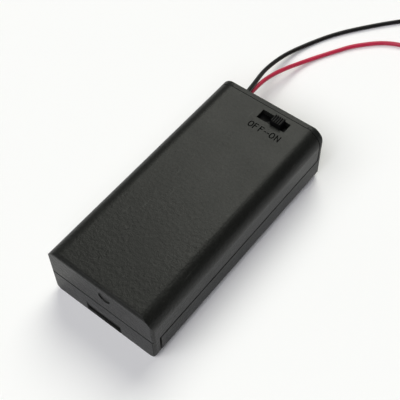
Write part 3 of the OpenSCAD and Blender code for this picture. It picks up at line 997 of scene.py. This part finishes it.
@dataclass(frozen=True)
class SwitchWords:
    """Sunk words beside the slot, in plain strokes, read from the near end, their recesses painted
    with shade. Millimetres.

    The F and N are given by half their width, and the O by half its width and how round it is:
    1 for an oval, less for a squarer one.
    """

    line_y: float = 25.85
    height: float = 2.0
    stroke: float = 0.26
    depth: float = 0.16
    clear: float = 0.3
    top: float = CASE_TOP
    round_half: float = 0.68
    roundness: float = 0.8
    round_points: int = 28
    f_half: float = 0.42
    f_short: float = 0.15
    f_rise: float = 0.1
    n_half: float = 0.5
    dash_half: float = 0.2
    centres: Tuple[Tuple[str, float], ...] = (
        ("O", -0.48), ("F", 1.02), ("F", 2.79), ("-", 4.08), ("-", 4.98), ("O", 6.29), ("N", 8.0))

    def bar(self, a: Tuple[float, float], b: Tuple[float, float]) -> Solid:
        """Works out one straight stroke, half a stroke's width longer at each end.

        Args:
            a: The point where it starts.
            b: The point where it ends.

        Returns:
            The stroke as a solid.
        """
        start, end = np.array(a), np.array(b)
        along = unit(end - start)
        side = np.array([-along[1], along[0]]) * self.stroke / 2
        start, end = start - along * self.stroke / 2, end + along * self.stroke / 2
        outline = np.array([start - side, end - side, end + side, start + side])
        return prism(outline, self.top - self.depth, self.top + self.clear)

    def loop(self, middle: float) -> Solid:
        """Works out the letter O: a ring between two ovals, a little squared.

        Each coordinate of an oval is a cosine or sine raised to the roundness, sign kept.

        Args:
            middle: Where its middle lies along X.

        Returns:
            The letter as a solid.
        """
        angle = np.linspace(0, 2 * np.pi, self.round_points, endpoint=False)
        waves = np.column_stack([np.cos(angle), np.sin(angle)])
        shape = np.sign(waves) * np.abs(waves) ** self.roundness
        centre = np.array([middle, self.line_y])
        outer = centre + shape * [self.round_half, self.height / 2]
        inner = centre + shape * [self.round_half - self.stroke, self.height / 2 - self.stroke]
        return ring_prism(outer, inner, self.top - self.depth, self.top + self.clear)

    def strokes(self) -> List[Solid]:
        """Works out every stroke of the words.

        Returns:
            The strokes as solids.
        """
        half = self.height / 2 - self.stroke / 2
        low, middle, high = self.line_y - half, self.line_y + self.f_rise, self.line_y + half
        made: List[Solid] = []
        for letter, x in self.centres:
            if letter == "O":
                made.append(self.loop(x))
            elif letter == "F":
                left, right = x - self.f_half, x + self.f_half
                made += [self.bar((left, low), (left, high)), self.bar((left, high), (right, high)),
                         self.bar((left, middle), (right - self.f_short, middle))]
            elif letter == "N":
                left, right = x - self.n_half, x + self.n_half
                made += [self.bar((left, low), (left, high)), self.bar((right, low), (right, high)),
                         self.bar((left, high), (right, low))]
            else:
                made.append(self.bar((x - self.dash_half, self.line_y),
                                     (x + self.dash_half, self.line_y)))
        return made

    def cutter(self) -> bpy.types.Object:
        """Returns all strokes as one tool, dressed in painted recess shade."""
        return cutting_tool("switch_words", self.strokes(), PAINTED_RECESS_SHADE)


@dataclass(frozen=True)
class RoundShoulder:
    """The softly rounded long upper edges of the closed case. Millimetres."""

    radius: float = 4.6
    steps: int = 25
    half_width: float = CASE_HALF_WIDTH
    half_length: float = CASE_HALF_LENGTH
    top: float = CASE_TOP
    clear: float = 1.0
    lap: float = 0.01

    def cutter(self) -> bpy.types.Object:
        """Makes the two bars that plane the edges.

        Each bar's outline follows the quarter circle that touches the top and the side of the
        case, and closes outside it. The bar on the left is the mirrored one.

        Returns:
            The bars as one tool.
        """
        turn = np.linspace(0.0, math.pi / 2, self.steps)
        inset, level = self.half_width - self.radius, self.top - self.radius
        arc = np.column_stack([inset + self.radius * np.sin(turn),
                               level + self.radius * np.cos(turn)])
        far_x, far_z = self.half_width + self.clear, self.top + self.clear
        outline = np.vstack([arc, [(self.half_width, level - self.lap), (far_x, level - self.lap),
                                   (far_x, far_z), (inset - self.lap, far_z),
                                   (inset - self.lap, self.top)]])
        reach = self.half_length + self.clear
        bars = []
        for side in (1, -1):
            points, faces = prism((outline * [side, 1])[::-side], -reach, reach)
            bars.append((points[:, [0, 2, 1]], faces))
        return cutting_tool("shoulder_bars", bars)


# ------------------------ moulded pieces


@dataclass(frozen=True)
class PartingLine:
    """Where the two halves meet, and the softened edges beside it, which with the faces in the gap
    are painted with shade. Millimetres.

    The halves meet at one height along the sides, and in a ring near each end. What is nearer
    than reach counts as lying there, and its corners over corner degrees are eased.
    """

    height: float = 8.5
    far_y: float = 33.35
    near_y: float = -32.7
    reach: float = 0.24
    ease: float = 0.17
    corner: float = 60.0
    half_width: float = CASE_HALF_WIDTH
    half_length: float = CASE_HALF_LENGTH
    top: float = CASE_TOP
    fillet: float = 3.0
    fillet_reach: float = 0.9
    skin_depth: float = 0.02
    end_depth: float = 0.01
    hidden_depth: float = 0.05
    level_normal: float = 0.9

    def outside(self, at: Array) -> Array:
        """Tells which points lie on the sides or the rounded long edges of the closed case.

        A point is outside if it lies on a side wall, or as far from the middle line of a rounded
        long edge as that edge's radius.

        Args:
            at: The points, one a row.

        Returns:
            True or false for each point.
        """
        x, z = np.abs(at[:, 0]), at[:, 2]
        middle_x, middle_z = self.half_width - self.fillet, self.top - self.fillet
        rim = self.fillet - self.skin_depth
        out_x = np.maximum(x - middle_x, 0)
        upper = (z > middle_z) & (np.hypot(out_x, z - middle_z) > rim)
        lower = (z < self.fillet) & (np.hypot(out_x, self.fillet - z) > rim)
        wall = x > self.half_width - self.skin_depth
        return wall | ((upper | lower) & (x > middle_x - self.fillet_reach))

    def near(self, at: Array) -> Array:
        """Tells which points lie beside the parting line, on its sides, ends or rings.

        Args:
            at: The points, one a row.

        Returns:
            True or false for each point.
        """
        y, z = at[:, 1], at[:, 2]
        level = np.abs(z - self.height) < self.reach
        ring = (np.abs(y - self.far_y) < self.reach) & (z > self.height - self.reach)
        ring |= (np.abs(y - self.near_y) < self.reach) & (z < self.height + self.reach)
        scored = level & (np.abs(y) > self.half_length - self.end_depth)
        return ((level | ring) & self.outside(at)) | scored

    def sharp(self, edge: bmesh.types.BMEdge) -> bool:
        """Tells whether two faces meet at the edge in a corner, and not in a smooth curve."""
        return edge.calc_face_angle(0.0) > math.radians(self.corner)

    def scored(self, edge: bmesh.types.BMEdge) -> bool:
        """Finds the lips of the line scored across an end plate.

        Args:
            edge: The edge.

        Returns:
            Whether it is one of them.
        """
        return all(abs(v.co.z - self.height) < self.reach
                   and abs(v.co.y) > self.half_length - self.end_depth
                   for v in edge.verts) and self.sharp(edge)

    def ease_edges(self, shape: bmesh.types.BMesh, shade: int) -> None:
        """Chamfers the edges beside the parting line, and paints shade on the chamfers and on the
        level faces that lie in the gap.

        Args:
            shape: The welded skin, in millimetres.
            shade: Slot of the painted recess shade.
        """
        shape.verts.ensure_lookup_table()
        beside = self.near(np.array([v.co[:] for v in shape.verts]))
        edges = [e for e in shape.edges
                 if (beside[e.verts[0].index] and beside[e.verts[1].index] and self.sharp(e)
                     and abs(e.verts[0].co.x - e.verts[1].co.x) < self.fillet)
                 or self.scored(e)]
        made = bmesh.ops.bevel(shape, geom=edges, offset=self.ease, offset_type="OFFSET",
                               segments=1, profile=0.5, affect="EDGES", clamp_overlap=False)
        # Painted shade on the chamfers, to darken and widen the parting line.
        for face in made["faces"]:
            face.material_index = shade
        # Painted shade on the level faces that lie inside the gap.
        middles = np.array([f.calc_center_median()[:] for f in shape.faces])
        hidden = np.abs(middles[:, 2] - self.height) < self.reach
        hidden &= np.abs(middles[:, 0]) < self.half_width - self.hidden_depth
        hidden &= np.abs(middles[:, 1]) < self.half_length - self.skin_depth
        for face, dark in zip(shape.faces, hidden):
            if dark and abs(face.normal.z) > self.level_normal:
                face.material_index = shade


@dataclass
class MouldedPiece:
    """A moulded node, remade as one welded skin so that its fillets shade smoothly.

    The node's triangles are welded and the flat ones joined. Where the piece has them, the parting
    line is eased and painted with shade, the shoulders are rounded, and the words are cut in with
    painted shade in their recesses. Angles are in degrees.
    """

    node: str
    name: str
    body: str
    slot: str
    finish: Finish
    parting: Optional[PartingLine] = None
    shoulder: Optional[RoundShoulder] = None
    words: Optional[SwitchWords] = None
    weld: float = 0.0005
    flat_below: float = 0.4
    smooth_below: float = 24.0

    def welded(self) -> bpy.types.Mesh:
        """Welds the node's triangles and joins the flat ones.

        Returns:
            The skin in millimetres, with its materials.
        """
        shape = bmesh.new()
        shape.from_mesh(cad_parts[self.node].data)
        bmesh.ops.scale(shape, vec=(1 / MM,) * 3, verts=shape.verts)
        bmesh.ops.remove_doubles(shape, verts=shape.verts, dist=self.weld)
        bmesh.ops.dissolve_limit(shape, angle_limit=math.radians(self.flat_below),
                                 verts=shape.verts, edges=shape.edges)
        if self.parting:
            self.parting.ease_edges(shape, 1)
        skin = bpy.data.meshes.new(self.name)
        shape.to_mesh(skin)
        shape.free()
        skin.materials.clear()
        skin.materials.append(self.finish.material())
        # Second slot: the painted shade of the parting line.
        if self.parting:
            skin.materials.append(PAINTED_RECESS_SHADE.material())
        return skin

    def cut(self, skin: bpy.types.Mesh, tool: bpy.types.Object) -> bpy.types.Mesh:
        """Takes a tool's volume out of the skin.

        Args:
            skin: The closed skin.
            tool: The cutting tool, which is used up.

        Returns:
            The cut skin.
        """
        blank = add_object("blank", skin)
        sink = blank.modifiers.new("sink", "BOOLEAN")
        sink.operation, sink.solver, sink.object = "DIFFERENCE", "EXACT", tool
        sink.use_self = True
        sink.material_mode = "TRANSFER"
        depsgraph = bpy.context.evaluated_depsgraph_get()
        sunk = bpy.data.meshes.new_from_object(blank.evaluated_get(depsgraph))
        bpy.data.objects.remove(blank)
        bpy.data.objects.remove(tool)
        return sunk

    def build(self) -> bpy.types.Object:
        """Makes the piece, which stands for its node and rides on the node's body.

        Returns:
            The piece.
        """
        skin = self.welded()
        for detail in (self.shoulder, self.words):
            if detail:
                skin = self.cut(skin, detail.cutter())
        skin.transform(Matrix.Diagonal((MM, MM, MM, 1.0)))
        skin.polygons.foreach_set("use_smooth", np.ones(len(skin.polygons), dtype=bool))
        skin.set_sharp_from_angle(angle=math.radians(self.smooth_below))
        skin.name = self.name
        piece = add_object(self.name, skin)
        weight = piece.modifiers.new("flats", "WEIGHTED_NORMAL")
        weight.keep_sharp = True
        return place_piece(piece, self.body, (self.node,))


TRAY_SHELL = MouldedPiece("base_tray", "tray_shell", "tray", "case", CASE,
                          PartingLine(), RoundShoulder())
COVER_SHELL = MouldedPiece("cover", "cover_shell", "cover", "case_cover", CASE_COVER,
                           PartingLine(), RoundShoulder(), SwitchWords())
KNOB_SHELL = MouldedPiece("switch_slider", "knob_shell", "slider", "switch_knob", KNOB)


# ------------------------ studio


@dataclass(frozen=True)
class SoftPanel:
    """One wide, far and soft light, which reaches the whole table evenly. Spread in degrees."""

    name: str
    towards: Tuple[float, float, float]
    strength: float
    tint: Colour = (1.0, 1.0, 1.0)
    spread: float = 40.0

    def build(self) -> bpy.types.Object:
        """Makes the light and turns it so that it shines from its side.

        Returns:
            The light.
        """
        lamp = bpy.data.lights.new(self.name, "SUN")
        lamp.energy, lamp.angle, lamp.color = self.strength, math.radians(self.spread), self.tint
        back = unit(np.array(self.towards))
        right = unit(np.cross([0.0, 0.0, 1.0], back))
        panel = add_object(self.name, lamp)
        panel.matrix_world = placing(np.column_stack([right, np.cross(back, right), back]), back)
        return panel


@dataclass
class Studio:
    """Pale floor and backdrop, a dim sky that is brighter on one side, and soft panels.

    The sky is dim where its cosine with the bright side is under the lower end of fall, and
    bright where it is over the upper end.
    """

    bright_side: Tuple[float, float, float] = (-0.6, 0.6, 0.53)
    fall: Range = (0.1, 0.95)
    dim: float = 0.02
    bright: float = 0.1
    backdrop: float = 0.93
    floor_half: float = 3.0
    floor_points: int = 9
    floor_drop: float = 0.00002
    panels: Sequence[SoftPanel] = field(default_factory=lambda: (
        SoftPanel("right_near_panel", (0.246, -0.594, 0.766), 1.28, (0.99, 0.99, 1.05)),
        SoftPanel("near_panel", (-0.246, -0.594, 0.766), 1.00),
        SoftPanel("far_left_panel", (-0.246, 0.594, 0.766), 1.76, (1.0, 1.01, 0.92)),
    ))

    def lay_floor(self) -> None:
        """Lays the table: a flat grid just under the holder."""
        n = self.floor_points
        across = np.linspace(-self.floor_half, self.floor_half, n)
        x, y = np.meshgrid(across, across, indexing="ij")
        corners = np.column_stack([x.ravel(), y.ravel(), np.full(x.size, -self.floor_drop)])
        index = np.arange(n * n).reshape(n, n)
        quads = np.stack([index[:-1, :-1], index[1:, :-1], index[1:, 1:], index[:-1, 1:]], -1)
        sheet = bpy.data.meshes.new("studio_floor")
        sheet.from_pydata(corners.tolist(), [], quads.reshape(-1, 4).tolist())
        sheet.materials.append(FLOOR.material())
        floor = add_object("studio_floor", sheet)

    def hang_sky(self) -> None:
        """Makes the sky: its strength rises smoothly towards the bright side.

        What shows behind the table is an even pale backdrop.
        """
        world = bpy.data.worlds.new("studio_sky")
        world.use_nodes = True
        nodes, link = world.node_tree.nodes, world.node_tree.links.new
        sky = nodes["Background"]
        behind = nodes.new("ShaderNodeBackground")
        for light in (sky, behind):
            light.inputs["Color"].default_value = (1, 1, 1, 1)
        behind.inputs["Strength"].default_value = self.backdrop
        facing = nodes.new("ShaderNodeVectorMath")
        facing.operation = "DOT_PRODUCT"
        facing.inputs[1].default_value = self.bright_side
        link(nodes.new("ShaderNodeTexCoord").outputs["Generated"], facing.inputs[0])
        fall = nodes.new("ShaderNodeMapRange")
        fall.interpolation_type = "SMOOTHSTEP"
        for key, value in zip(("From Min", "From Max", "To Min", "To Max"),
                              (*self.fall, self.dim, self.bright)):
            fall.inputs[key].default_value = value
        link(facing.outputs["Value"], fall.inputs["Value"])
        link(fall.outputs[0], sky.inputs["Strength"])
        choose = nodes.new("ShaderNodeMixShader")
        link(nodes.new("ShaderNodeLightPath").outputs["Is Camera Ray"], choose.inputs[0])
        link(sky.outputs[0], choose.inputs[1])
        link(behind.outputs[0], choose.inputs[2])
        link(choose.outputs[0], nodes["World Output"].inputs["Surface"])
        bpy.context.scene.world = world

    def build(self) -> None:
        """Makes the floor, the sky and the lights, and keeps the tones plain."""
        self.lay_floor()
        self.hang_sky()
        for panel in self.panels:
            panel.build()
        bpy.context.scene.view_settings.view_transform = "Standard"


# ------------------------ whole


def dress_nodes() -> None:
    """Gives every CAD node the material of its finish."""
    for name, finish in NODE_FINISHES.items():
        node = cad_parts[name]
        node.data.materials.clear()
        node.data.materials.append(finish.material())
        LOG.info("%s dressed in %s", name, finish.name)


def main() -> None:
    """Builds the camera, the leads, the pieces and the studio, in that order."""
    logging.basicConfig(level=logging.INFO)
    ViewPoint().build()
    for lead in (BLACK_LEAD, RED_LEAD):
        lead.build(TwistedEnd(lead).build())
    for moulded in (TRAY_SHELL, COVER_SHELL, KNOB_SHELL):
        moulded.build()
    dress_nodes()
    Studio().build()


if __name__ == "__main__":
    main()
